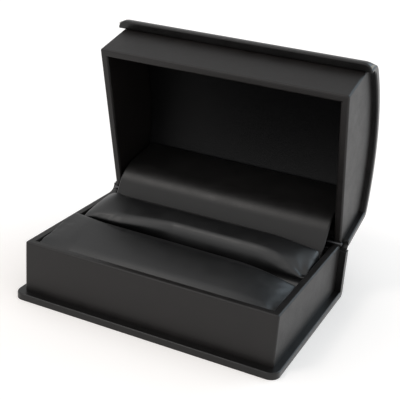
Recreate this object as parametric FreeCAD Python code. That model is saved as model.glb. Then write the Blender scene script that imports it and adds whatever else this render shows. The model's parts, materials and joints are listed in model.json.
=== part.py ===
"""Hinged jewelry box in leatherette over board, standing open, with a two-cushion pad and a domed lid.

Millimetres. X runs along the hinge, Y to the back, Z up. The origin is the middle of the underside.
The lid is drawn shut and then turned open about the hinge pin.
"""
import FreeCAD, Part
import math
import os

# Tray and lid frames
tray_width = 86.0
tray_depth = 55.5
tray_height = 16.2
wall_board = 2.0
skin = 0.35
corner_radius = 0.8
rim_radius = 0.3
tray_turn_in = 9.0
lid_turn_in = 13.0
rim_gap = 0.3

# Case boards
bottom_board_thickness = 2.4
bottom_overhang = 2.2
bottom_corner_radius = 3.2
bottom_edge_radius = 1.3
lip_edge_radius = 0.6
cover_board_thickness = 1.7
cover_overhang = 2.0
cover_edge_radius = 1.1
glue_window_margin = 9.0

# Crown of the lid, measured from its rim
lid_back_height = 19.4
lid_crown_height = 26.2
shoulder_radius = 5.7
lining_thickness = 1.1
lining_clearance = 0.2

# Hinge
open_angle = 75.0
hinge_setback = 0.3
pin_radius = 0.65
pin_overhang = 0.5
pin_end_taper = 0.3
pin_clearance = 0.05
knuckle_wall = 0.45
knuckle_count = 5
knuckle_gap = 0.3
leaf_thickness = 0.5
leaf_length = 72.0
leaf_reach = 9.5
hinge_relief = 0.3
back_wall_drop = 2.4
spine_joint = 2.3
spine_clearance = 0.1

# Staples and snap spring
staple_wire = 0.7
staple_span = 6.0
staple_drop = 6.0
leaf_staple_spacing = 50.0
spring_staple_span = 10.0
spring_width = 18.0
spring_thickness = 0.3
spring_tab_end = 3.5
spring_lift = 0.1

# Pad
pad_card_thickness = 1.2
pad_clearance = 0.3
slot_width = 0.6
pad_setback = 0.5
front_cushion_share = 0.547
front_crown = 1.2
back_crown = 3.3
cushion_rise_share = 0.64
cushion_back_round = 2.2
cushion_shoulder = 1.2
cushion_end_round = 4.0
cushion_cover_thickness = 0.5

# Folded panel over the hinge
panel_card_thickness = 0.8
panel_side_clearance = 1.1
fold_reach = 8.6
fold_rise = 1.1
panel_lean = 4.6
fold_clearance = 0.15
flap_length = 14.5
flap_lean = 28.5

# Derived planes and sizes
wall = wall_board + 2 * skin
bottom = bottom_board_thickness + 2 * skin
cover = cover_board_thickness + 2 * skin
panel = panel_card_thickness + 2 * skin
half_width = tray_width / 2
front_y = -tray_depth / 2
back_y = tray_depth / 2
back_wall_out_y = back_y - leaf_thickness
back_wall_in_y = back_wall_out_y - wall_board
rim_z = bottom + tray_height
lid_z = rim_z + rim_gap
cover_half_width = half_width + cover_overhang
above = lid_z + 2 * lid_crown_height
lid_back_z = lid_z + lid_back_height

X_AXIS = FreeCAD.Vector(1, 0, 0)
hinge = FreeCAD.Vector(0, back_y + hinge_setback, rim_z + rim_gap / 2)
knuckle_radius = pin_radius + pin_clearance + knuckle_wall


def point(y, z, x=0.0):
    return FreeCAD.Vector(x, y, z)


def box(x, y, z):
    """Block between two limits on each axis."""
    return Part.makeBox(x[1] - x[0], y[1] - y[0], z[1] - z[0], FreeCAD.Vector(x[0], y[0], z[0]))


def wide_box(half, y, z):
    """Block centred on the box's middle plane."""
    return box((-half, half), y, z)


def side_prism(edges, half):
    """Closed outline in the YZ plane, drawn out to both sides of the middle plane."""
    face = Part.Face(Part.Wire(edges))
    face.translate(FreeCAD.Vector(-half, 0, 0))
    return face.extrude(FreeCAD.Vector(2 * half, 0, 0))


def plan_prism(outline, z):
    """Closed outline of XY points, raised from one height to another."""
    corners = [FreeCAD.Vector(x, y, z[0]) for x, y in outline]
    face = Part.Face(Part.makePolygon(corners + corners[:1]))
    return face.extrude(FreeCAD.Vector(0, 0, z[1] - z[0]))


def rod(centre, radius, half):
    """Round bar along X."""
    return Part.makeCylinder(radius, 2 * half, FreeCAD.Vector(-half, centre.y, centre.z), X_AXIS)


def line(a, b):
    return Part.LineSegment(a, b).toShape()


def polar(centre, radius, angle):
    """Point of a circle in the YZ plane, with the angle in degrees from +Y towards +Z."""
    turn = math.radians(angle)
    return point(centre.y + radius * math.cos(turn), centre.z + radius * math.sin(turn))


def arc(centre, radius, start, end):
    middle = polar(centre, radius, (start + end) / 2)
    return Part.Arc(polar(centre, radius, start), middle, polar(centre, radius, end)).toShape()


def turned(shape, centre, angle):
    """Copy turned about an X axis through the centre."""
    copy = shape.copy()
    copy.rotate(centre, X_AXIS, angle)
    return copy


def rounded(shape, radius, wanted):
    """Fillet on every edge whose middle and direction pass the test."""
    edges = []
    for edge in shape.Edges:
        middle = edge.valueAt((edge.FirstParameter + edge.LastParameter) / 2)
        ends = edge.Vertexes[0].Point - edge.Vertexes[-1].Point
        if wanted(middle, ends):
            edges.append(edge)
    return shape.makeFillet(radius, edges)


def near(a, b):
    return abs(a - b) < 1e-4


# Crown of the lid: a wide arc from the back corner, then a tighter shoulder down to the front

crown_sag = lid_crown_height - lid_back_height
crown_radius = (back_y ** 2 + crown_sag ** 2) / (2 * crown_sag)
crown_centre = point(0, lid_z + lid_crown_height - crown_radius)
shoulder_y = front_y + shoulder_radius
shoulder_rise = math.sqrt((crown_radius - shoulder_radius) ** 2 - shoulder_y ** 2)
shoulder_centre = point(shoulder_y, crown_centre.z + shoulder_rise)
shoulder_start = math.degrees(math.atan2(shoulder_rise, shoulder_y))
lip_z = shoulder_centre.z


def crown_block(offset, end_y, floor_z, half):
    """Space under the crown's curve, moved outwards by the offset, in front of end_y and above floor_z."""
    back_angle = math.degrees(math.acos(end_y / (crown_radius + offset)))
    back_top = polar(crown_centre, crown_radius + offset, back_angle)
    front_top = polar(shoulder_centre, shoulder_radius + offset, 180)
    back_foot = point(end_y, floor_z)
    front_foot = point(front_top.y, floor_z)
    return side_prism([
        line(back_foot, back_top),
        arc(crown_centre, crown_radius + offset, back_angle, shoulder_start),
        arc(shoulder_centre, shoulder_radius + offset, shoulder_start, 180),
        line(front_top, front_foot),
        line(front_foot, back_foot),
    ], half)


def crown_band(inner, outer, end_y, half):
    """Bent sheet between two offsets of the crown's curve."""
    below = crown_block(inner, end_y, lid_z - cover, half)
    return crown_block(outer, end_y, lid_z, half).cut(below)


# Frames of tray and lid: mitred boards at the front corners, a back board let in between the sides

frame_out_x = half_width - skin
frame_in_x = frame_out_x - wall_board
frame_out_y = front_y + skin
frame_in_y = frame_out_y + wall_board
clear_x = half_width - wall
clear_y = front_y + wall


def front_wall(z):
    outline = [(-frame_out_x, frame_out_y), (frame_out_x, frame_out_y)]
    outline += [(frame_in_x, frame_in_y), (-frame_in_x, frame_in_y)]
    return plan_prism(outline, z)


def side_wall(side, z):
    outline = [(side * frame_out_x, frame_out_y), (side * frame_out_x, back_y)]
    outline += [(side * frame_in_x, back_y), (side * frame_in_x, frame_in_y)]
    return plan_prism(outline, z).cut(rod(hinge, pin_radius + pin_clearance, half_width))


def back_wall(z):
    return wide_box(frame_in_x, (back_wall_in_y, back_wall_out_y), z)


def frame_skin(outside, inside_z, boards_z):
    """Leatherette on the outside of three walls, over their rim and turned in."""
    boards = wide_box(frame_out_x, (frame_out_y, back_y), boards_z)
    turn_in = wide_box(frame_in_x, (frame_in_y, back_wall_in_y), inside_z)
    hollow = wide_box(clear_x, (clear_y, back_y), (bottom - cover, above))
    pin_room = rod(hinge, pin_radius + pin_clearance, half_width)
    return outside.cut(boards).fuse(turn_in).cut(hollow).cut(pin_room).removeSplitter()


def soft_corners(block, z):
    """Rounds a frame's front corners and the outer edge of its rim."""
    def upright_corner(middle, ends):
        return near(middle.y, front_y) and abs(ends.z) > tray_height / 2 and near(abs(middle.x), half_width)

    def rim_edge(middle, ends):
        return near(middle.z, z) and not near(middle.y, back_y)

    return rounded(rounded(block, corner_radius, upright_corner), rim_radius, rim_edge)


def tray_pieces():
    boards_z = (bottom, rim_z - skin)
    outside = soft_corners(wide_box(half_width, (front_y, back_y), (bottom, rim_z)), rim_z)
    return {
        "tray_front_wall": front_wall(boards_z),
        "tray_left_wall": side_wall(-1, boards_z),
        "tray_right_wall": side_wall(1, boards_z),
        "tray_back_wall": back_wall((bottom, rim_z - back_wall_drop)),
        "tray_skin": frame_skin(outside, (rim_z - tray_turn_in, rim_z), boards_z),
    }


def lid_frame_pieces():
    boards_z = (lid_z + skin, above)
    under_crown = crown_block(0, back_y, lid_z, half_width)
    outside = soft_corners(wide_box(half_width, (front_y, back_y), (lid_z, above)), lid_z)
    covered = frame_skin(outside, (lid_z, lid_z + lid_turn_in), boards_z)
    return {
        "lid_front_wall": front_wall(boards_z).common(under_crown),
        "lid_left_wall": side_wall(-1, boards_z).common(under_crown),
        "lid_right_wall": side_wall(1, boards_z).common(under_crown),
        "lid_back_wall": back_wall((lid_z + back_wall_drop, above)).common(under_crown),
        "lid_skin": covered.common(under_crown),
    }


# Case: flat bottom, upright back, lid back and bent crown, each a board wrapped in leatherette

def bottom_pieces():
    def slab(inset):
        half = half_width + bottom_overhang - inset
        y = (front_y - bottom_overhang + inset, back_y + cover - inset)
        block = wide_box(half, y, (inset, bottom - inset))
        upright = lambda middle, ends: near(middle.y, y[0]) and abs(ends.z) > bottom / 2
        return rounded(block, bottom_corner_radius - inset, upright)

    board = slab(skin)
    window = wide_box(
        half_width - glue_window_margin,
        (front_y + glue_window_margin, back_y - glue_window_margin),
        (bottom - 2 * skin, bottom),
    )
    at_back = lambda middle: near(middle.y, back_y + cover)
    wrapped = rounded(slab(0), bottom_edge_radius, lambda m, e: near(m.z, 0) and not at_back(m))
    wrapped = rounded(wrapped, lip_edge_radius, lambda m, e: near(m.z, bottom) and not at_back(m))
    return {"bottom_board": board, "bottom_cover_skin": wrapped.cut(board).cut(window)}


def upright_case(z, free_z, window_z):
    """Back of the base or of the lid: its board and the leatherette over it, with a soft free end."""
    board_z = tuple(end + math.copysign(skin, z[0] + z[1] - 2 * end) * near(end, free_z) for end in z)
    board = wide_box(cover_half_width - skin, (back_y + skin, back_y + cover - skin), board_z)
    block = wide_box(cover_half_width, (back_y, back_y + cover), z)
    side_edge = lambda middle, ends: near(abs(middle.x), cover_half_width) and abs(ends.z) > cover
    free_edge = lambda middle, ends: near(middle.z, free_z) and near(abs(ends.x), 2 * cover_half_width)
    soft = rounded(block, cover_edge_radius, lambda m, e: side_edge(m, e) or free_edge(m, e))
    window = wide_box(half_width - glue_window_margin, (back_y, back_y + 2 * skin), window_z)
    return board, soft.cut(board).cut(window)


def back_pieces():
    top_z = hinge.z - spine_joint
    window_z = (bottom + 2 * skin, rim_z - leaf_reach - 2 * skin)
    board, wrapped = upright_case((bottom, top_z), top_z, window_z)
    return {"back_board": board, "back_cover_skin": wrapped}


def lid_back_pieces():
    foot_z = hinge.z + spine_joint
    window_z = (lid_z + leaf_reach + 2 * skin, lid_back_z - 2 * skin)
    board, wrapped = upright_case((foot_z, lid_back_z), foot_z, window_z)
    return {"lid_back_board": board, "lid_back_cover_skin": wrapped}


def crown_pieces():
    end_y = back_y + cover
    behind = wide_box(2 * half_width, (back_y - skin, 2 * end_y), (lid_z - cover, lid_back_z))
    below_lip = wide_box(2 * half_width, (2 * front_y, front_y + skin), (lid_z - cover, lip_z))
    sheet = crown_block(cover, end_y, lid_z, cover_half_width)
    sheet = sheet.cut(crown_block(0, back_y, lid_z - cover, cover_half_width)).cut(behind).cut(below_lip)

    def outer_edge(middle, ends):
        flat = point(middle.y, middle.z)
        on_crown = near((flat - crown_centre).Length, crown_radius + cover)
        on_shoulder = near((flat - shoulder_centre).Length, shoulder_radius + cover)
        on_back = near(middle.y, end_y)
        on_rim = near(abs(middle.x), cover_half_width) or near(middle.z, lip_z) or on_back
        return (on_crown or on_shoulder or on_back) and on_rim and not near(middle.z, lid_back_z)

    soft = rounded(sheet, cover_edge_radius, outer_edge)
    board = crown_band(skin, cover - skin, end_y - skin, cover_half_width - skin).cut(behind)
    board = board.cut(below_lip.translated(FreeCAD.Vector(0, 0, skin)))
    hollow = wide_box(clear_x, (clear_y, back_wall_in_y), (lid_z, above))
    window = crown_band(-skin, skin, end_y - cover, cover_half_width).common(hollow)
    lining_room = wide_box(
        clear_x - lining_clearance,
        (clear_y + lining_clearance, back_wall_in_y - lining_clearance),
        (lid_z + lid_turn_in, above),
    )
    lining = crown_band(skin - lining_thickness, skin, back_y, half_width).common(lining_room)
    return {"dome_board": board, "dome_cover_skin": soft.cut(board).cut(window), "lid_lining": lining}


# Hinge: two leaves with interleaved knuckles on one pin, stapled through the back walls

def hinge_leaf(side):
    """Leaf below (side -1) or above (side 1) the pin, drawn with the lid shut."""
    reach_z = hinge.z + side * (leaf_reach + rim_gap / 2)
    plate_z = sorted((hinge.z, reach_z))
    leaf_y = (back_y - leaf_thickness, back_y)
    leaf = wide_box(leaf_length / 2, leaf_y, plate_z)
    leaf = leaf.cut(rod(hinge, knuckle_radius + hinge_relief, leaf_length))
    pitch = leaf_length / knuckle_count
    first = 0 if side < 0 else 1
    for index in range(first, knuckle_count, 2):
        start = -leaf_length / 2 + index * pitch + knuckle_gap / 2
        length = pitch - knuckle_gap
        barrel = Part.makeCylinder(knuckle_radius, length, FreeCAD.Vector(start, hinge.y, hinge.z), X_AXIS)
        web_z = sorted((hinge.z, hinge.z + side * (knuckle_radius + 2 * hinge_relief)))
        leaf = leaf.fuse(barrel).fuse(box((start, start + length), leaf_y, web_z))
    return leaf.cut(rod(hinge, pin_radius + pin_clearance, leaf_length)).removeSplitter()


def staple_places():
    """Middle, span and seat of each staple: two hold the leaf alone, one the spring's tab as well."""
    outer = leaf_staple_spacing / 2
    leaf_only = [(x, staple_span, 0) for x in (-outer, outer)]
    return leaf_only + [(0, spring_staple_span, spring_thickness)]


def staple_legs(side, start_y, end_y):
    """Square legs of every staple, between two depths."""
    half = staple_wire / 2
    row_z = hinge.z + side * staple_drop
    middles = [x + share * span for x, span, _ in staple_places() for share in (-0.5, 0.5)]
    return [box((x - half, x + half), (start_y, end_y), (row_z - half, row_z + half)) for x in middles]


def staples(side):
    """Wire staples, their crowns inside the box and their points cut flush behind the leaf."""
    half = staple_wire / 2
    row_z = hinge.z + side * staple_drop
    legs = staple_legs(side, back_wall_in_y - spring_thickness, back_y)
    solids = []
    for index, (x, span, seat) in enumerate(staple_places()):
        seat_y = back_wall_in_y - seat
        reach = span / 2 + half
        crown = box((x - reach, x + reach), (seat_y - staple_wire, seat_y), (row_z - half, row_z + half))
        solids.append(crown.fuse(legs[2 * index: 2 * index + 2]).removeSplitter())
    return Part.makeCompound(solids)


def staple_holes(side):
    return Part.makeCompound(staple_legs(side, back_wall_in_y - wall, back_y + cover))


def hinge_pin():
    """Plain pin through all the knuckles, its tapered ends just proud of the walls."""
    half = half_width + pin_overhang - pin_end_taper
    pin = rod(hinge, pin_radius, half)
    for side in (-1, 1):
        foot = hinge + X_AXIS * side * half
        tip = Part.makeCone(pin_radius, pin_radius - pin_end_taper, pin_end_taper, foot, X_AXIS * side)
        pin = pin.fuse(tip)
    return pin.removeSplitter()


def snap_spring():
    """Strip flat on both back walls and bent once round the hinge, in the open pose."""
    half_turn = math.radians(open_angle) / 2
    wall_offset = hinge.y - back_wall_in_y
    drop = back_wall_drop + rim_gap / 2 - spring_lift
    tangent = wall_offset * math.tan(half_turn) + drop
    bend = tangent / math.tan(half_turn)
    bend_centre = point(back_wall_in_y + bend, hinge.z - drop)
    tab_foot = hinge.z - staple_drop - spring_tab_end
    outer = bend + spring_thickness
    shut_y = back_wall_in_y - spring_thickness
    lid_end = [point(y, 2 * hinge.z - tab_foot) for y in (back_wall_in_y, shut_y)]
    lid_in, lid_out = [at_closing(0).multVec(end) for end in lid_end]
    start = 180.0
    stop = start - open_angle
    foot_in = point(back_wall_in_y, tab_foot)
    foot_out = point(shut_y, tab_foot)
    strip = side_prism([
        line(foot_in, polar(bend_centre, bend, start)),
        arc(bend_centre, bend, start, stop),
        line(polar(bend_centre, bend, stop), lid_in),
        line(lid_in, lid_out),
        line(lid_out, polar(bend_centre, outer, stop)),
        arc(bend_centre, outer, stop, start),
        line(polar(bend_centre, outer, start), foot_out),
        line(foot_out, foot_in),
    ], spring_width / 2)
    return strip.cut(staple_holes(-1)).cut(turned(staple_holes(1), hinge, -open_angle))


def spine_fold():
    """Fold of leatherette in the joint behind the knuckles, from the base's back round to the lid's."""
    outer = spine_joint - spine_clearance
    inner = outer - skin
    start = -90.0
    stop = 90.0 - open_angle
    return side_prism([
        arc(hinge, inner, start, stop),
        line(polar(hinge, inner, stop), polar(hinge, outer, stop)),
        arc(hinge, outer, stop, start),
        line(polar(hinge, outer, start), polar(hinge, inner, start)),
    ], cover_half_width)


# Pad: a card with two crowned cushions, parted by the slot that grips the jewelry

fold = point(hinge.y - fold_reach, hinge.z + fold_rise)
panel_half_width = clear_x - panel_side_clearance
flap_foot = flap_length - panel / 2
travel_steps = 48


def at_closing(share):
    """Placement of the lid, from 0 standing open to 1 shut, against its shut place."""
    return FreeCAD.Placement(point(0, 0), FreeCAD.Rotation(X_AXIS, (share - 1) * open_angle), hinge)


def flap_reach():
    """Furthest forward that the flap's foot comes while the lid shuts."""
    reach = []
    for step in range(travel_steps + 1):
        share = step / travel_steps
        lean = math.radians((1 - share) * flap_lean)
        foot_y = at_closing(share).multVec(fold).y - flap_foot * math.sin(lean)
        reach.append(foot_y - panel / 2)
    return min(reach)


pad_front_y = clear_y + pad_clearance
pad_back_y = flap_reach() - pad_setback
slot_y = pad_front_y + (pad_back_y - pad_front_y) * front_cushion_share
pad_half_width = clear_x - pad_clearance
cushion_z = bottom + pad_card_thickness


def cushion_form(front, back, crown, inset):
    """Curves up from its front to a level top, turns down at its back, and is rounded down at both ends."""
    front += inset
    back -= inset
    half = pad_half_width - inset
    side_z = rim_z - cushion_shoulder - inset
    top_z = rim_z + crown - inset
    run = (back - front) * cushion_rise_share
    rise = top_z - side_z
    radius = (run ** 2 + rise ** 2) / (2 * rise)
    back_z = top_z - cushion_back_round
    level_end = back - cushion_back_round
    across = side_prism([
        line(point(front, cushion_z), point(back, cushion_z)),
        line(point(back, cushion_z), point(back, back_z)),
        arc(point(level_end, back_z), cushion_back_round, 0.0, 90.0),
        line(point(level_end, top_z), point(front + run, top_z)),
        arc(point(front + run, top_z - radius), radius, 90.0, 90.0 + math.degrees(math.asin(run / radius))),
        line(point(front, side_z), point(front, cushion_z)),
    ], half)
    ends = wide_box(half, (front, back), (cushion_z, top_z))
    end_edge = lambda middle, run: near(middle.z, top_z) and near(abs(middle.x), half)
    return across.common(rounded(ends, cushion_end_round, end_edge))


def pad_pieces():
    pieces = {}
    card_z = (bottom, cushion_z)
    pieces["pad_card"] = wide_box(pad_half_width, (pad_front_y, pad_back_y), card_z)
    cushions = {
        "front_cushion": (pad_front_y, slot_y - slot_width / 2, front_crown),
        "back_cushion": (slot_y + slot_width / 2, pad_back_y, back_crown),
    }
    for name, form in cushions.items():
        foam = cushion_form(*form, cushion_cover_thickness)
        pieces[name + "_foam"] = foam
        pieces[name + "_cover"] = cushion_form(*form, 0).cut(foam)
    return pieces


# Folded panel: the upper half is fixed in the lid, the lower half drops behind the pad as the lid shuts

def panel_slab(thickness, start, length, half):
    """Slab that hangs straight down from the fold, its first end at the given distance."""
    y = (fold.y - thickness / 2, fold.y + thickness / 2)
    return wide_box(half, y, (fold.z - length, fold.z - start))


def panel_pieces():
    """Upper half, drawn with the lid shut: a round fold, then a slab up to the lining."""
    card = panel_slab(panel_card_thickness, 0, lid_crown_height, panel_half_width - skin)
    body = panel_slab(panel, 0, lid_crown_height, panel_half_width)
    body = body.fuse(rod(fold, panel / 2, panel_half_width))
    room = crown_block(skin - lining_thickness - lining_clearance, back_wall_in_y, lid_z - cover, half_width)
    upright = 180.0 - panel_lean
    card = turned(card, fold, upright).common(room)
    body = turned(body, fold, upright).common(room).removeSplitter()
    return {"hinge_panel_card": card, "hinge_panel_skin": body.cut(card)}


def flap_pieces():
    """Lower half, in the open pose: clear of the round fold and leaning on the way down to the pad."""
    opened_fold = at_closing(0).multVec(fold)
    fold_room = rod(fold, panel / 2 + fold_clearance, panel_half_width)
    half = panel_half_width
    foot = point(fold.y, fold.z - flap_foot)
    body = panel_slab(panel, 0, flap_foot, half).fuse(rod(foot, panel / 2, half)).cut(fold_room)
    card = panel_slab(panel_card_thickness, 0, flap_foot, half - skin).cut(fold_room)
    pieces = {}
    for name, shape in (("hinge_flap_card", card), ("hinge_flap_skin", body.cut(card))):
        leaning = turned(shape, fold, -flap_lean)
        leaning.translate(opened_fold - fold)
        pieces[name] = leaning
    return pieces


def base_pieces():
    pieces = bottom_pieces()
    pieces.update(back_pieces())
    pieces.update(tray_pieces())
    pieces["tray_back_wall"] = pieces["tray_back_wall"].cut(staple_holes(-1))
    pieces.update(pad_pieces())
    pieces["base_hinge_leaf"] = hinge_leaf(-1).cut(staple_holes(-1))
    pieces["base_hinge_staples"] = staples(-1)
    pieces["hinge_pin"] = hinge_pin()
    pieces["snap_spring"] = snap_spring()
    pieces["spine_fold"] = spine_fold()
    return pieces


def lid_pieces():
    pieces = lid_frame_pieces()
    pieces["lid_back_wall"] = pieces["lid_back_wall"].cut(staple_holes(1))
    pieces.update(lid_back_pieces())
    pieces.update(crown_pieces())
    pieces["lid_hinge_leaf"] = hinge_leaf(1).cut(staple_holes(1))
    pieces["lid_hinge_staples"] = staples(1)
    pieces.update(panel_pieces())
    return {name: turned(shape, hinge, -open_angle) for name, shape in pieces.items()}


os.makedirs("parts", exist_ok=True)
for pieces in (base_pieces(), lid_pieces(), flap_pieces()):
    for name, shape in pieces.items():
        shape.exportStep("parts/" + name + ".step")
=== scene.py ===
import json
import math

import bmesh
import bpy
from mathutils import Matrix, Vector


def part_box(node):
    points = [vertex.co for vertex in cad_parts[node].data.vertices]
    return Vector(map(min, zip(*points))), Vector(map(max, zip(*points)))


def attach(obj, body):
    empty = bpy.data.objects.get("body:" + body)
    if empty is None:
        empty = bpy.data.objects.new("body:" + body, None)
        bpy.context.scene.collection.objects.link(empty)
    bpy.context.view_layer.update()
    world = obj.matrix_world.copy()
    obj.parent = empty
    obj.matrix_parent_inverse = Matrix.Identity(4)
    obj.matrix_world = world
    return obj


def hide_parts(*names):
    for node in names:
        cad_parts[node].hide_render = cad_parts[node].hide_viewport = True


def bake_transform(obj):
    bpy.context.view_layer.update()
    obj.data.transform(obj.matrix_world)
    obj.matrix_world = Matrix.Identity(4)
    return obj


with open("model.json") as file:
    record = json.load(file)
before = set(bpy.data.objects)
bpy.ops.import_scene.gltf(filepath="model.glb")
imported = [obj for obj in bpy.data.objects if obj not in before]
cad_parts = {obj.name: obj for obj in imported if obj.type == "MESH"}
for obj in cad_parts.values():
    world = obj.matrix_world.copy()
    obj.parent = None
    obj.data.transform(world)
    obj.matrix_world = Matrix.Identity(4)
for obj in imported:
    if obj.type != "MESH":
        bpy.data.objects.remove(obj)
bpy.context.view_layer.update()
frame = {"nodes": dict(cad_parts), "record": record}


# Case of the base: the bottom and back boards of the box, wrapped together like a book cover in one
# sheet of black leatherette. The sheet is glued down, turned over the edges and bent up at the back.

mm = 0.001
bottom_low, bottom_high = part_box("bottom_cover_skin")
back_low, back_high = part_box("back_cover_skin")
case_corner = 3.2 * mm
case_bend = 1.5 * mm
lip_edge = 0.5 * mm
lip_roll = 0.5 * mm
lip_foot = 0.6 * mm
lip_out = 0.9 * mm
lip_side = 0.1 * mm
lip_top = bottom_high[2] - 0.8 * mm
lip_front = bottom_low[1] - lip_out
lip_half = bottom_high[0] + lip_side
sharp_edge = math.radians(50)
seam_angle = math.radians(42)
same_place = 0.02 * mm


class Finish:
    """One output in a material's node tree, so that shader maths reads as Python."""

    def __init__(self, tree, socket=None):
        self.tree = tree
        self.socket = socket

    def add(self, kind, settings, values, output=0):
        """New node of a kind: its settings first, then the values or links of its sockets."""
        node = self.tree.nodes.new(kind)
        for key, value in settings.items():
            if key == "stops":
                set_stops(node.color_ramp, value)
            else:
                setattr(node, key, value)
        for key, value in values.items():
            if isinstance(value, Finish):
                self.tree.links.new(value.socket, node.inputs[key])
            else:
                node.inputs[key].default_value = value
        return Finish(self.tree, node.outputs[output] if node.outputs else None)

    def math(self, operation, first, second):
        return self.add("ShaderNodeMath", {"operation": operation}, {0: first, 1: second})

    def __add__(self, other):
        return self.math("ADD", self, other)

    __radd__ = __add__

    def __sub__(self, other):
        return self.math("SUBTRACT", self, other)

    def __rsub__(self, other):
        return self.math("SUBTRACT", other, self)

    def __mul__(self, other):
        return self.math("MULTIPLY", self, other)

    __rmul__ = __mul__


def set_stops(ramp, stops):
    """Gives a colour ramp its stops of (position, colour)."""
    while len(ramp.elements) < len(stops):
        ramp.elements.new(1.0)
    for element, (position, colour) in zip(ramp.elements, stops):
        element.position = position
        element.color = colour


def new_finish(name):
    """Empty material, its node tree and the place on the object that patterns read."""
    material = bpy.data.materials.new(name)
    material.use_nodes = True
    tree = material.node_tree
    tree.nodes.clear()
    start = Finish(tree)
    place = start.add("ShaderNodeTexCoord", {}, {}, "Object")
    return material, start, place


def close_finish(start, shader):
    """Ends a finish with its shader."""
    start.add("ShaderNodeOutputMaterial", {}, {"Surface": shader})


def cloudy(start, place, scale, detail):
    """Soft noise over a place, with so many spots to the metre."""
    return start.add("ShaderNodeTexNoise", {}, {"Vector": place, "Scale": scale, "Detail": detail}, 0)


def leatherette(name, tone, index, sheen_roughness, grain_size, grain_height, ripple_height):
    """Coated cloth with an embossed grain, a slight ripple from its glue and faint handling marks."""
    pores_per_grain = 2.6
    ripple_scale = 70.0
    marks_scale = 190.0
    rubbed = 1.5
    grain_share, pore_share = 0.7, 0.5
    marks_dull, grain_dull, mean_dull = 0.16, 0.06, 0.11
    material, start, place = new_finish(name)
    cells = start.add(
        "ShaderNodeTexVoronoi", {"feature": "F1"}, {"Vector": place, "Scale": 1 / grain_size}, "Distance"
    )
    pores = cloudy(start, place, pores_per_grain / grain_size, 2.0)
    ripple = cloudy(start, place, ripple_scale, 2.0)
    marks = cloudy(start, place, marks_scale, 5.0)
    pale = tuple(rubbed * value for value in tone)
    colour = start.add(
        "ShaderNodeValToRGB", {"stops": [(0.35, (*tone, 1.0)), (0.75, (*pale, 1.0))]}, {"Fac": marks}, 0
    )
    relief = ripple * ripple_height + (cells * grain_share + pores * pore_share) * grain_height
    bump = start.add("ShaderNodeBump", {}, {"Height": relief, "Strength": 1.0, "Distance": 1.0}, 0)
    roughness = marks * marks_dull + cells * grain_dull + (sheen_roughness - mean_dull)
    shader = start.add("ShaderNodeBsdfPrincipled", {}, {
        "Base Color": colour,
        "Roughness": roughness,
        "Normal": bump,
        "IOR": index,
    })
    close_finish(start, shader)
    return material


def side_face(bm, outline, x):
    """Face in the side view, from a few (y, z) corners."""
    return bm.faces.new([bm.verts.new((x, y, z)) for y, z in outline])


def draw_out(bm, vector):
    """Draws every face of a flat outline out along a vector, and closes the solid."""
    drawn = bmesh.ops.extrude_face_region(bm, geom=bm.faces[:])
    moved = [part for part in drawn["geom"] if isinstance(part, bmesh.types.BMVert)]
    bmesh.ops.translate(bm, vec=vector, verts=moved)
    bmesh.ops.recalc_face_normals(bm, faces=bm.faces)


def middle_of(edge):
    return (edge.verts[0].co + edge.verts[1].co) / 2


def direction_of(edge):
    return (edge.verts[1].co - edge.verts[0].co).normalized()


def soften(bm, radius, segments, chosen):
    """Rounds the sharp outer edges that pass a test on their middle and direction."""
    edges = []
    for edge in bm.edges:
        sharp = edge.is_manifold and edge.is_convex and edge.calc_face_angle() > sharp_edge
        if sharp and chosen(middle_of(edge), direction_of(edge)):
            edges.append(edge)
    bmesh.ops.bevel(
        bm, geom=edges, offset=radius, offset_type="OFFSET", affect="EDGES",
        segments=segments, profile=0.5, material=-1, clamp_overlap=True,
    )


def near(a, b):
    return abs(a - b) < same_place


def made(name, bm, material, slot, *nodes):
    """Turns a mesh into a piece with its finish, in the place of the solids it stands for."""
    mesh = bpy.data.meshes.new(name)
    bm.to_mesh(mesh)
    bm.free()
    mesh.shade_smooth()
    mesh.set_sharp_from_angle(angle=seam_angle)
    mesh.materials.append(material)
    piece = bpy.data.objects.new(name, mesh)
    bpy.context.scene.collection.objects.link(piece)
    normals = piece.modifiers.new("flat_faces", "WEIGHTED_NORMAL")
    normals.keep_sharp = True
    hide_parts(*nodes)
    return piece


case_finish = leatherette(
    "case_leatherette", (0.005, 0.0046, 0.0045), 1.43, 0.31, 0.5 * mm, 0.012 * mm, 0.06 * mm
)
bm = bmesh.new()
side_face(bm, [
    (lip_front, bottom_low[2]),
    (bottom_high[1], bottom_low[2]),
    (bottom_high[1], back_high[2]),
    (back_low[1], back_high[2]),
    (back_low[1], lip_top),
    (lip_front, lip_top),
], -lip_half)
draw_out(bm, (2 * lip_half, 0, 0))
soften(bm, case_corner, 8, lambda m, d: near(m.y, lip_front) and abs(d.z) > 0.9)
soften(bm, case_bend, 5, lambda m, d: near(m.y, bottom_high[1]) and near(m.z, bottom_low[2]))
soften(bm, lip_foot, 5, lambda m, d: near(m.z, bottom_low[2]))
soften(bm, lip_roll, 5, lambda m, d: near(m.z, lip_top))
soften(bm, lip_edge, 4, lambda m, d: True)
base_case = made(
    "base_case_wrap", bm, case_finish, "leatherette",
    "bottom_cover_skin", "bottom_board", "back_cover_skin", "back_board",
)
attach(base_case, "base")


# Tray: three board walls standing on the bottom, mitred at the front corners and wrapped in the same
# leatherette, which runs over the rim and is turned in on the inside.

tray_low, tray_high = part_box("tray_skin")
tray_low = (tray_low[0], tray_low[1], lip_top)
wall = 2.7 * mm
wall_corner = 0.8 * mm
rim_edge = 0.65 * mm
wall_finish = leatherette(
    "wall_leatherette", (0.0055, 0.0045, 0.0042), 1.42, 0.44, 0.5 * mm, 0.012 * mm, 0.06 * mm
)


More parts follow.
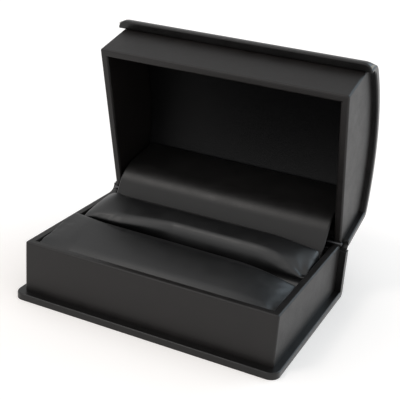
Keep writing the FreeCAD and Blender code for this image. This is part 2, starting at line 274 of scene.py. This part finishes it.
def three_walls(bm, low, high):
    """Walls at the front and both sides, open at the back."""
    outline = [
        (low[0], high[1]), (low[0], low[1]), (high[0], low[1]), (high[0], high[1]),
        (high[0] - wall, high[1]), (high[0] - wall, low[1] + wall),
        (low[0] + wall, low[1] + wall), (low[0] + wall, high[1]),
    ]
    bm.faces.new([bm.verts.new((x, y, low[2])) for x, y in outline])
    draw_out(bm, (0, 0, high[2] - low[2]))
    soften(bm, wall_corner, 5, lambda m, d: near(m.y, low[1]) and abs(d.z) > 0.9)


bm = bmesh.new()
three_walls(bm, tray_low, tray_high)
soften(bm, rim_edge, 4, lambda m, d: near(m.z, tray_high[2]))
tray_wrap = made("tray_wrap", bm, wall_finish, "leatherette", "tray_skin")
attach(tray_wrap, "base")


# Cushions: two foam cores, each drawn into soft leatherette and pressed side by side into the tray.
# The slot between them grips the jewelry, and the cover is gathered at the corners.

front_low, front_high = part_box("front_cushion_cover")
rear_low, rear_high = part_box("back_cushion_cover")
rim_z = tray_high[2]
sim_scale = 5.0
held_z = rim_z - 3.5 * mm
slack = 0.35 * mm
inset = 0.3 * mm
swell = 0.55 * mm
slot_floor = rim_z - 8 * mm
slot_ledge = 3 * mm
cell = 0.8 * mm
air_pressure = 4.0
filling_frames = 20
roll_steps = 8
top_steps = 24
cushion_finish = leatherette(
    "cushion_leatherette", (0.004, 0.004, 0.0042), 1.56, 0.44, 0.45 * mm, 0.01 * mm, 0.05 * mm
)


def cover_curve(front, back, edge_z, crest_z, apex_y, rolls):
    """Side view of a cushion's top: a roll at its front, a curve up to its level top, a roll at its back."""
    front_roll, back_roll = rolls
    flatness = (apex_y - front) ** 2 / (crest_z - edge_z)
    start_tilt = math.atan(2 * (crest_z - edge_z) / (apex_y - front))
    roll_centre = Vector((front + front_roll, edge_z - front_roll * math.cos(start_tilt)))
    curve = []
    for step in range(roll_steps + 1):
        turn = (math.pi / 2 - start_tilt) * step / roll_steps
        y = roll_centre.x - front_roll * math.cos(turn)
        curve.append((y, roll_centre.y + front_roll * math.sin(turn)))
    begin = curve[-1][0]
    for step in range(1, top_steps + 1):
        y = begin + (back - back_roll - begin) * step / top_steps
        curve.append((y, crest_z - max(apex_y - y, 0.0) ** 2 / flatness))
    for step in range(1, roll_steps + 1):
        turn = math.pi / 2 * step / roll_steps
        y = back - back_roll * (1 - math.sin(turn))
        curve.append((y, crest_z - back_roll * (1 - math.cos(turn))))
    return curve


def slack_block(name, low, high, groove, edge_z, crest_z, apex_y, rolls):
    """Cushion before it is filled: a little smaller all round, in even cells."""
    front = low[1] + inset
    back = high[1] - inset
    bm = bmesh.new()
    curve = cover_curve(front + groove, back, edge_z - slack, crest_z - slack, apex_y, rolls)
    foot = [(back, low[2]), (front, low[2]), (front, slot_floor), (front + groove, slot_floor + slot_ledge)]
    side_face(bm, foot + curve, low[0] + inset)
    draw_out(bm, (high[0] - low[0] - 2 * inset, 0, 0))
    bmesh.ops.scale(bm, vec=Vector((1, 1, 1)) * sim_scale, verts=bm.verts)
    mesh = bpy.data.meshes.new(name)
    bm.to_mesh(mesh)
    bm.free()
    block = bpy.data.objects.new(name, mesh)
    bpy.context.scene.collection.objects.link(block)
    remesh = block.modifiers.new("voxels", "REMESH")
    remesh.mode = "VOXEL"
    remesh.voxel_size = cell * sim_scale
    take_shape(block)
    return block


def take_shape(piece):
    """Applies a piece's modifiers to its mesh."""
    ready = piece.evaluated_get(bpy.context.evaluated_depsgraph_get())
    mesh = bpy.data.meshes.new_from_object(ready)
    piece.modifiers.clear()
    piece.data = mesh


def blow_up(block):
    """Fills the cover with air against its own stiffness, held where it is tucked into the tray."""
    tucked = block.vertex_groups.new(name="tucked")
    tucked.add([v.index for v in block.data.vertices if v.co.z < held_z * sim_scale], 1.0, "REPLACE")
    scene = bpy.context.scene
    cloth = block.modifiers.new("cover", "CLOTH")
    settings = cloth.settings
    settings.use_pressure = True
    settings.uniform_pressure_force = air_pressure
    settings.vertex_group_mass = "tucked"
    settings.effector_weights.gravity = 0.0
    for frame_number in range(1, filling_frames + 1):
        scene.frame_set(frame_number)
    take_shape(block)
    scene.frame_set(1)


def end_fall(distance, reach, fall):
    """How far a rounded end has come down at a distance from it."""
    share = max(1 - distance / reach, 0.0)
    return fall * min(share, 1.0) ** 2


def share_of(value):
    """A share, kept from 0 to 1."""
    return min(max(value, 0.0), 1.0)


gather_depth = 1.1 * mm
gather_way = Vector((-1.0, 0.7))
gather_reach = 9 * mm
gather_middle = 0.01 * mm
dimple_radius = 1.3 * mm
fold_length = 2.6 * mm
fold_count = 4


def gather(place, corner):
    """Depth of a gathered corner: a dimple where the cover is caught, and small folds fanned out from it."""
    out = place.xy - corner
    if out.length > gather_reach or out.length < gather_middle:
        return 0.0
    turn = out.angle_signed(gather_way, 0.0)
    dimple = math.exp(-((out.length / dimple_radius) ** 2))
    folds = math.exp(-out.length / fold_length) * (1 - math.cos(fold_count * turn)) / 2
    return gather_depth * (dimple + folds)


gather_in = 2.2 * mm
gather_back = 4.0 * mm
gather_shift = 0.6
stiff_end = 7 * mm
meeting_share = 1.8
meeting_length = 18 * mm
lean_depth = 12 * mm
lean_rise = 1.6
fill_power = 5
spread_length = 6 * mm
wall_play = 0.2 * mm


def cushion(name, low, high, shape, left, right, back_hold, tilt, filled, spread, *nodes):
    """One cushion, filled and then pressed into its place.

    The shape is its side view. Left and right say how far in each end is rounded and how far it falls, and
    back_hold how much of the right end's fall the back keeps up. Tilt lowers the right half and lifts the
    left. Filled says how far in, and how high, the front left corner is stuffed, and spread how far the
    left end is pushed out.
    """
    block = slack_block(name, low, high, *shape)
    start = [v.co.copy() for v in block.data.vertices]
    blow_up(block)
    groove = shape[0]
    fill_length, fill_rise = filled
    corner = Vector((high[0] - gather_in, low[1] + gather_back + gather_shift * groove))
    for vertex, was in zip(block.data.vertices, start):
        move = vertex.co - was
        move.length = min(move.length, swell * sim_scale)
        move *= min((was.x / sim_scale - low[0]) / stiff_end, 1.0)
        place = (was + move) / sim_scale
        loose = share_of((place.z - held_z) / (high[2] - held_z))
        behind = share_of((place.y - low[1]) / (high[1] - low[1]))
        fall = end_fall(high[0] - place.x, *right) * (1 - back_hold * behind)
        fall += end_fall(place.x - low[0], *left)
        fall += gather(place, corner)
        closed = share_of(meeting_share - (place.x - low[0]) / meeting_length)
        forward = share_of(1 - (place.y - low[1] - groove) / lean_depth)
        place.y -= groove * closed * forward * min(lean_rise * loose, 1.0)
        place.z -= loose * (fall + tilt * place.x / high[0])
        place.z += fill_rise * (1 - behind) ** fill_power * max(1 - (place.x - low[0]) / fill_length, 0.0)
        loose = share_of((place.z - held_z) / (high[2] - held_z))
        place.x -= spread * loose * max(1 - (place.x - low[0]) / spread_length, 0.0)
        place.x = min(max(place.x, low[0] - wall_play), high[0])
        place.y = min(max(place.y, low[1]), high[1])
        place.z = max(place.z, low[2])
        vertex.co = place
    block.data.materials.clear()
    block.data.materials.append(cushion_finish)
    block.data.shade_smooth()
    smooth = block.modifiers.new("soft", "SUBSURF")
    smooth.levels = smooth.render_levels = 1
    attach(block, "base")
    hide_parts(*nodes)


front_shape = (0.0, rim_z - 2.8 * mm, rim_z + 1.8 * mm, -2.0 * mm, (2.6 * mm, 1.2 * mm))
front_left, front_right = (10 * mm, -0.3 * mm), (21 * mm, 4.2 * mm)
front_fill = (10 * mm, 4.6 * mm)
cushion(
    "front_cushion", front_low, front_high, front_shape, front_left, front_right,
    0.1, 0.5 * mm, front_fill, 1.8 * mm, "front_cushion_cover", "front_cushion_foam",
)
rear_shape = (4.8 * mm, rim_z + 2.2 * mm, rim_z + 4.5 * mm, 15.0 * mm, (1.2 * mm, 1.4 * mm))
rear_left, rear_right = (6 * mm, 1.6 * mm), (19 * mm, 7.5 * mm)
rear_fill = (19 * mm, -3.0 * mm)
cushion(
    "rear_cushion", rear_low, rear_high, rear_shape, rear_left, rear_right,
    0.7, 0.0, rear_fill, -1.6 * mm, "back_cushion_cover", "back_cushion_foam",
)


# Frame boards: raw grey pasteboard under the leatherette, cut square and glued at the corners. The
# wraps cover nearly all of it, and the back walls are covered on both faces.

fibre_scale = 900.0
fibre_height = 0.05 * mm


def pasteboard(name):
    """Pressed grey fibres, dull and a little rough."""
    material, start, place = new_finish(name)
    fibres = cloudy(start, place, fibre_scale, 6.0)
    colour = start.add("ShaderNodeValToRGB", {
        "stops": [(0.3, (0.22, 0.21, 0.19, 1.0)), (0.7, (0.36, 0.35, 0.32, 1.0))],
    }, {"Fac": fibres}, 0)
    bump = start.add("ShaderNodeBump", {}, {"Height": fibres * fibre_height, "Distance": 1.0}, 0)
    shader = start.add("ShaderNodeBsdfPrincipled", {}, {
        "Base Color": colour,
        "Normal": bump,
        "Roughness": 0.9,
    })
    close_finish(start, shader)
    return material


def clad(material, *nodes):
    """Gives CAD solids that stay in view their finish."""
    for node in nodes:
        materials = frame["nodes"][node].data.materials
        materials.clear()
        materials.append(material)


clad(
    pasteboard("raw_board"),
    "tray_front_wall", "tray_left_wall", "tray_right_wall", "pad_card", "lid_front_wall", "lid_left_wall",
    "lid_right_wall", "dome_board", "lid_back_board",
)
clad(wall_finish, "tray_back_wall", "lid_back_wall")


# Hinge: two pressed steel leaves with rolled knuckles on a blackened pin, stapled through the back
# walls, and a bowed leaf spring across them that snaps the lid open or shut.

hinge_joint = frame["record"]["behaviour"]["joints"][0]
hinge = Vector(hinge_joint["pos_m"])
open_turn = math.radians(hinge_joint["range_deg"][1])


def steel(name, tone, roughness):
    """Drawn steel with fine marks along its length."""
    material, start, place = new_finish(name)
    drawn = start.add("ShaderNodeMapping", {}, {"Vector": place, "Scale": (40.0, 900.0, 900.0)}, 0)
    marks = cloudy(start, drawn, 1.0, 4.0)
    shader = start.add("ShaderNodeBsdfPrincipled", {}, {
        "Base Color": (*tone, 1.0),
        "Metallic": 1.0,
        "Roughness": marks * 0.2 + (roughness - 0.1),
    })
    close_finish(start, shader)
    return material


black_steel = steel("blackened_steel", (0.07, 0.07, 0.073), 0.45)
clad(
    black_steel,
    "base_hinge_leaf", "lid_hinge_leaf", "base_hinge_staples", "lid_hinge_staples", "hinge_pin",
)


# Lid frame: three more walls in the same wrap, their upper edges cut to the curve of the crown and
# covered by it. It is shaped with the lid shut and then turned open about the pin.

half_width = tray_high[0]
front_y = tray_low[1]
back_y = tray_high[1]
rim_gap = 0.3 * mm
lid_z = rim_z + rim_gap
lid_back_rise = 19.4 * mm
crown_rise = 26.2 * mm
shoulder_radius = 5.7 * mm
cover = 2.4 * mm
crown_stations = 40
crown_sag = crown_rise - lid_back_rise
crown_radius = (back_y ** 2 + crown_sag ** 2) / (2 * crown_sag)
crown_centre = Vector((0, 0, lid_z + crown_rise - crown_radius))
shoulder_y = front_y + shoulder_radius
roll_z = crown_centre.z + math.sqrt((crown_radius - shoulder_radius) ** 2 - shoulder_y ** 2)
shoulder_centre = Vector((0, shoulder_y, roll_z))


def crown_height(y, offset):
    """Height of the crown's curve over a depth, moved outwards by the offset."""
    if y < shoulder_y * (crown_radius + offset) / (crown_radius - shoulder_radius):
        reach = shoulder_radius + offset
        return roll_z + math.sqrt(max(reach ** 2 - (y - shoulder_y) ** 2, 0.0))
    return crown_centre.z + math.sqrt((crown_radius + offset) ** 2 - y ** 2)


def turn_open(bm):
    """Turns a mesh that is drawn shut to where the open lid is."""
    bmesh.ops.rotate(bm, cent=hinge, matrix=Matrix.Rotation(-open_turn, 3, "X"), verts=bm.verts)


bm = bmesh.new()
lid_low = (-half_width, front_y, lid_z)
lid_high = (half_width, back_y, lid_z + 2 * crown_rise)
three_walls(bm, lid_low, lid_high)
soften(bm, rim_edge, 4, lambda m, d: near(m.z, lid_z))
for step in range(1, crown_stations):
    station = (0, front_y + (back_y - front_y) * step / crown_stations, 0)
    parts = bm.verts[:] + bm.edges[:] + bm.faces[:]
    bmesh.ops.bisect_plane(bm, geom=parts, plane_co=station, plane_no=(0, 1, 0))
for vertex in bm.verts:
    if near(vertex.co.z, lid_high[2]):
        vertex.co.z = crown_height(vertex.co.y, 0.5 * cover)
turn_open(bm)
lid_wrap = made("lid_wrap", bm, wall_finish, "leatherette", "lid_skin")
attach(lid_wrap, "lid")


# Case of the lid: one bent board rolls over the crown and its front shoulder, a flat one closes the
# back, and a single sheet of leatherette wraps both and stands proud of the frame all round.

case_half = 45.0 * mm
front_lip = 3.1 * mm
least_lip = 0.3 * front_lip
corner_steps = 9
spine_joint = 2.3 * mm
lid_foot_z = hinge.z + spine_joint


def strip_from(bm, inner, outer):
    """First edge across a bent sheet, in the side view."""
    verts = [bm.verts.new((-case_half, *inner)), bm.verts.new((-case_half, *outer))]
    return verts + [bm.edges.new(verts)]


def bend_strip(bm, end, centre, turn, steps):
    """Carries the last edge of a sheet round a centre and returns its new end."""
    return bmesh.ops.spin(
        bm, geom=end, cent=centre, axis=(1, 0, 0), angle=turn, steps=steps, use_merge=False,
    )["geom_last"]


def run_strip(bm, end, inner, outer):
    """Carries the last edge of a sheet straight to a new place."""
    edge = [part for part in end if isinstance(part, bmesh.types.BMEdge)]
    drawn = bmesh.ops.extrude_edge_only(bm, edges=edge)["geom"]
    verts = [part for part in drawn if isinstance(part, bmesh.types.BMVert)]
    place_end(verts, inner, outer)
    return verts + [bm.edges.get(verts)]


def place_end(verts, inner, outer):
    """Sets the two corners of a sheet's end, keeping which is the outer one."""
    first = min(verts, key=lambda v: (v.co.yz - Vector(inner)).length - (v.co.yz - Vector(outer)).length)
    for vertex in verts:
        vertex.co.yz = inner if vertex is first else outer


shoulder_start = math.atan2(roll_z - crown_centre.z, shoulder_y)
crown_end = math.acos(back_y / crown_radius)
bm = bmesh.new()
end = strip_from(bm, (front_y, roll_z), (front_y - cover, roll_z))
end = bend_strip(bm, end, shoulder_centre, shoulder_start - math.pi, 12)
end = bend_strip(bm, end, crown_centre, crown_end - shoulder_start, 36)
corner_z = crown_height(back_y + cover, cover)
place_end(
    [part for part in end if isinstance(part, bmesh.types.BMVert)],
    (back_y, crown_height(back_y, 0)), (back_y + cover, corner_z),
)
run_strip(bm, end, (back_y, lid_foot_z), (back_y + cover, lid_foot_z))
draw_out(bm, (2 * case_half, 0, 0))
soften(bm, case_bend, 4, lambda m, d: near(m.y, back_y + cover) and near(m.z, corner_z))
soften(bm, lip_edge, 4, lambda m, d: True)
corner_x = case_half - case_corner
for step in range(corner_steps):
    station = corner_x + case_corner * math.sin(math.pi / 2 * step / corner_steps)
    for x in (station, -station):
        parts = bm.verts[:] + bm.edges[:] + bm.faces[:]
        bmesh.ops.bisect_plane(bm, geom=parts, plane_co=(x, 0, 0), plane_no=(1, 0, 0))
for vertex in bm.verts:
    if vertex.co.y < front_y:
        past = min(max(abs(vertex.co.x) - corner_x, 0.0), case_corner)
        drop = case_corner - math.sqrt(case_corner ** 2 - past ** 2)
        reach = max(front_lip - drop, least_lip) / cover
        vertex.co.y = front_y - (front_y - vertex.co.y) * reach
turn_open(bm)
lid_case = made(
    "lid_case_wrap", bm, case_finish, "leatherette", "dome_cover_skin", "lid_back_cover_skin"
)
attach(lid_case, "lid")


# Lining: card with a dull black flocked face, bent under the crown inside the lid. It is pushed in
# between the walls and glued to the crown's board.

flock_scale = 4200.0
flock_height = 0.08 * mm


def flock(name, tone):
    """Short dull fibres that hardly shine."""
    material, start, place = new_finish(name)
    fibres = cloudy(start, place, flock_scale, 3.0)
    pale = tuple(2.0 * value for value in tone)
    colour = start.add(
        "ShaderNodeValToRGB", {"stops": [(0.3, (*tone, 1.0)), (0.7, (*pale, 1.0))]}, {"Fac": fibres}, 0
    )
    bump = start.add("ShaderNodeBump", {}, {"Height": fibres * flock_height, "Distance": 1.0}, 0)
    shader = start.add("ShaderNodeBsdfPrincipled", {}, {
        "Base Color": colour,
        "Normal": bump,
        "Roughness": 0.36,
        "Specular IOR Level": 0.2,
    })
    close_finish(start, shader)
    return material


lining_play = 0.2 * mm
lining_half = half_width - wall - lining_play
lining_back = 25.0 * mm
lining_out = 0.35 * mm
lining_in = -0.75 * mm
lining_front = math.pi - math.radians(20)
front_way = Vector((math.cos(lining_front), math.sin(lining_front)))
start_in = shoulder_centre.yz + front_way * (shoulder_radius + lining_in)
start_out = shoulder_centre.yz + front_way * (shoulder_radius + lining_out)
bm = bmesh.new()
end = strip_from(bm, start_in, start_out)
end = bend_strip(bm, end, shoulder_centre, shoulder_start - lining_front, 8)
bend_strip(bm, end, crown_centre, math.acos(lining_back / crown_radius) - shoulder_start, 32)
for vertex in bm.verts:
    vertex.co.x = -lining_half
draw_out(bm, (2 * lining_half, 0, 0))
turn_open(bm)
lining_finish = flock("black_flock", (0.0016, 0.0016, 0.0018))
lining = made("crown_lining", bm, lining_finish, "lining", "lid_lining")
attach(lining, "lid")


# Hinge panel: one card-stiffened strip of leatherette that hides the hinge. Its upper half is fixed
# under the crown, and its free flap bends at a soft fold and slides behind the cushions.

fold_joint = frame["record"]["behaviour"]["joints"][1]
fold = Vector(fold_joint["pos_m"])
panel_half = 39.2 * mm
panel = 1.5 * mm
panel_lean = math.radians(4.6)
panel_rise = math.pi / 2 - open_turn - panel_lean
flap_fall = math.radians(28.5)
fold_radius = 9.5 * mm
panel_length = 20.0 * mm
flap_length = 14.5 * mm
flap_hem = 0.2 * mm
panel_edge = 0.6 * mm
panel_steps = 6
panel_way = Vector((math.cos(panel_rise), math.sin(panel_rise)))
flap_way = Vector((-math.sin(flap_fall), -math.cos(flap_fall)))
bend = math.pi - panel_way.angle(flap_way)
tangent = (fold_radius + panel / 2) * math.tan(bend / 2)
panel_across = Vector((-panel_way.y, panel_way.x)) * panel / 2
flap_across = Vector((flap_way.y, -flap_way.x)) * panel / 2
bend_start = fold.yz + panel_way * tangent
bend_centre = bend_start - panel_across.normalized() * (fold_radius + panel / 2)
bm = bmesh.new()
top = fold.yz + panel_way * panel_length
end = strip_from(bm, top - panel_across, top + panel_across)
for step in range(1, panel_steps + 1):
    middle = top.lerp(bend_start, step / panel_steps)
    end = run_strip(bm, end, middle - panel_across, middle + panel_across)
end = bend_strip(bm, end, (0, *bend_centre), bend, 14)
bend_end = fold.yz + flap_way * tangent
foot = fold.yz + flap_way * (flap_length - flap_hem)
for step in range(1, panel_steps + 1):
    middle = bend_end.lerp(foot, step / panel_steps)
    end = run_strip(bm, end, middle - flap_across, middle + flap_across)
for vertex in bm.verts:
    vertex.co.x = -panel_half
draw_out(bm, (2 * panel_half, 0, 0))
soften(bm, panel_edge, 4, lambda m, d: True)
panel_finish = leatherette(
    "panel_leatherette", (0.007, 0.0066, 0.0064), 1.42, 0.38, 0.5 * mm, 0.012 * mm, 0.05 * mm
)
hinge_panel = made(
    "hinge_panel", bm, panel_finish, "leatherette",
    "hinge_panel_skin", "hinge_panel_card", "hinge_flap_skin", "hinge_flap_card",
)
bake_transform(hinge_panel)


# Spine: the strip of leatherette left bare between the boards of base and lid, folded into the joint
# behind the knuckles.

spine_out = 2.2 * mm
spine_thickness = 0.35 * mm
spine_in = spine_out - spine_thickness
bm = bmesh.new()
end = strip_from(bm, (hinge.y, hinge.z - spine_in), (hinge.y, hinge.z - spine_out))
bend_strip(bm, end, hinge, math.pi - open_turn, 20)
draw_out(bm, (2 * case_half, 0, 0))
spine = made("spine_fold_strip", bm, case_finish, "leatherette", "spine_fold")
spine_end = hinge.yz + Vector((math.sin(open_turn), math.cos(open_turn))) * spine_out
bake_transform(spine)


# Snap spring: a strip of black spring steel, held flat on each back wall by a staple and bowed once
# round the hinge.

spring_low, spring_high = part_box("snap_spring")
spring = 0.3 * mm
spring_drop = 2.45 * mm
wall_face = spring_low[1] + spring
spring_tangent = (hinge.y - wall_face) * math.tan(open_turn / 2) + spring_drop
spring_bend = spring_tangent / math.tan(open_turn / 2)
spring_centre = Vector((wall_face + spring_bend, hinge.z - spring_drop))
spring_tab = hinge.z - spring_drop - spring_low[2]
bm = bmesh.new()
end = strip_from(bm, (wall_face, spring_low[2]), (spring_low[1], spring_low[2]))
end = run_strip(bm, end, (wall_face, spring_centre.y), (spring_low[1], spring_centre.y))
end = bend_strip(bm, end, (0, *spring_centre), -open_turn, 16)
spring_way = Vector((math.sin(open_turn), math.cos(open_turn)))
spring_across = Vector((-math.cos(open_turn), math.sin(open_turn)))
spring_end = spring_centre + spring_across * spring_bend
lid_tab = spring_end + spring_way * spring_tab
run_strip(bm, end, lid_tab, lid_tab + spring_across * spring)
for vertex in bm.verts:
    vertex.co.x = spring_low[0]
draw_out(bm, (spring_high[0] - spring_low[0], 0, 0))
snap_spring = made("snap_spring_strip", bm, black_steel, "steel", "snap_spring")
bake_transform(snap_spring)


# Studio: a pale floor that runs out of sight, soft light from a large panel behind at the right and a
# small weak one at the left front, and the camera that took the picture.

floor_half = 4.0
paper_tone = (0.9, 0.865, 0.84)
paper_lift = 0.26
window_tone = (0.38, 0.54, 0.66)
back_shade = 0.64
sky_light = 0.85


def shown_rays(start):
    """1 for what the camera sees straight, mirrored or through something, and 0 for what only lights."""
    seen = start.add("ShaderNodeLightPath", {}, {}, "Is Camera Ray")
    mirrored = start.add("ShaderNodeLightPath", {}, {}, "Is Glossy Ray")
    through = start.add("ShaderNodeLightPath", {}, {}, "Is Transmission Ray")
    return start.math("MAXIMUM", start.math("MAXIMUM", seen, mirrored), through)


def studio_white(name, colour, lift):
    """Matt paper, a little lighter where it shows so that it ends in white."""
    material, start, _ = new_finish(name)
    matt = start.add("ShaderNodeBsdfDiffuse", {}, {"Color": (*colour, 1.0)})
    glow = start.add("ShaderNodeEmission", {}, {"Strength": shown_rays(start) * lift})
    close_finish(start, start.add("ShaderNodeAddShader", {}, {0: matt, 1: glow}))
    return material


bm = bmesh.new()
bmesh.ops.create_grid(bm, x_segments=1, y_segments=1, size=floor_half)
mesh = bpy.data.meshes.new("floor")
bm.to_mesh(mesh)
bm.free()
mesh.materials.append(studio_white("paper", paper_tone, paper_lift))
floor = bpy.data.objects.new("floor", mesh)
bpy.context.scene.collection.objects.link(floor)

world = bpy.data.worlds.new("studio")
world.use_nodes = True
world.node_tree.nodes.clear()
sky = Finish(world.node_tree)
way = sky.add("ShaderNodeTexCoord", {}, {}, "Generated")
across = sky.add("ShaderNodeSeparateXYZ", {}, {"Vector": way}, "X")
depth = sky.add("ShaderNodeSeparateXYZ", {}, {"Vector": way}, "Y")
window = sky.add("ShaderNodeValToRGB", {
    "stops": [(0.0, (0.0, 0.0, 0.0, 1.0)), (0.22, (*window_tone, 1.0))],
}, {"Fac": sky.math("MAXIMUM", across, 0.0) * sky.math("MAXIMUM", depth, 0.0)}, 0)
shade = sky.add("ShaderNodeValToRGB", {
    "stops": [(0.1, (1.0, 1.0, 1.0, 1.0)), (0.75, (back_shade, back_shade, back_shade, 1.0))],
}, {"Fac": depth}, 0)
sky.add("ShaderNodeOutputWorld", {}, {
    "Surface": sky.add("ShaderNodeBackground", {}, {
        "Color": sky.add("ShaderNodeVectorMath", {"operation": "ADD"}, {0: shade, 1: window}),
        "Strength": shown_rays(sky) * (1.0 - sky_light) + sky_light,
    }),
})
bpy.context.scene.world = world


def soft_light(name, place, aim, width, watts, colour):
    """Square lamp at a place, turned to what it lights."""
    light = bpy.data.lights.new(name, "AREA")
    light.shape = "SQUARE"
    light.size = width
    light.energy = watts
    light.color = colour
    lamp = bpy.data.objects.new(name, light)
    lamp.location = place
    lamp.rotation_euler = (Vector(aim) - Vector(place)).to_track_quat("-Z", "Y").to_euler()
    bpy.context.scene.collection.objects.link(lamp)


box_middle = (0.0, 0.01, 0.04)
soft_light("right_panel", (0.95, 1.55, 1.0), box_middle, 1.0, 5.0, (0.7, 0.87, 1.0))
soft_light("left_panel", (-0.5, -0.6, 1.0), box_middle, 0.28, 2.0, (1.0, 0.95, 0.91))

lens = bpy.data.cameras.new("camera")
lens.sensor_width = 36.0
lens.lens = 82.2165
camera = bpy.data.objects.new("camera", lens)
camera_place = Vector((112.521, -241.645, 145.232)) * mm
camera_aim = Vector((-0.397, 8.791, 31.337)) * mm
camera_roll = math.radians(-4.3823)
facing = (camera_aim - camera_place).to_track_quat("-Z", "Y").to_matrix()
camera.matrix_world = Matrix.LocRotScale(camera_place, facing @ Matrix.Rotation(-camera_roll, 3, "Z"), None)
lens.clip_start = 0.01
bpy.context.scene.collection.objects.link(camera)
bpy.context.scene.camera = camera
bpy.context.scene.view_settings.view_transform = "Standard"
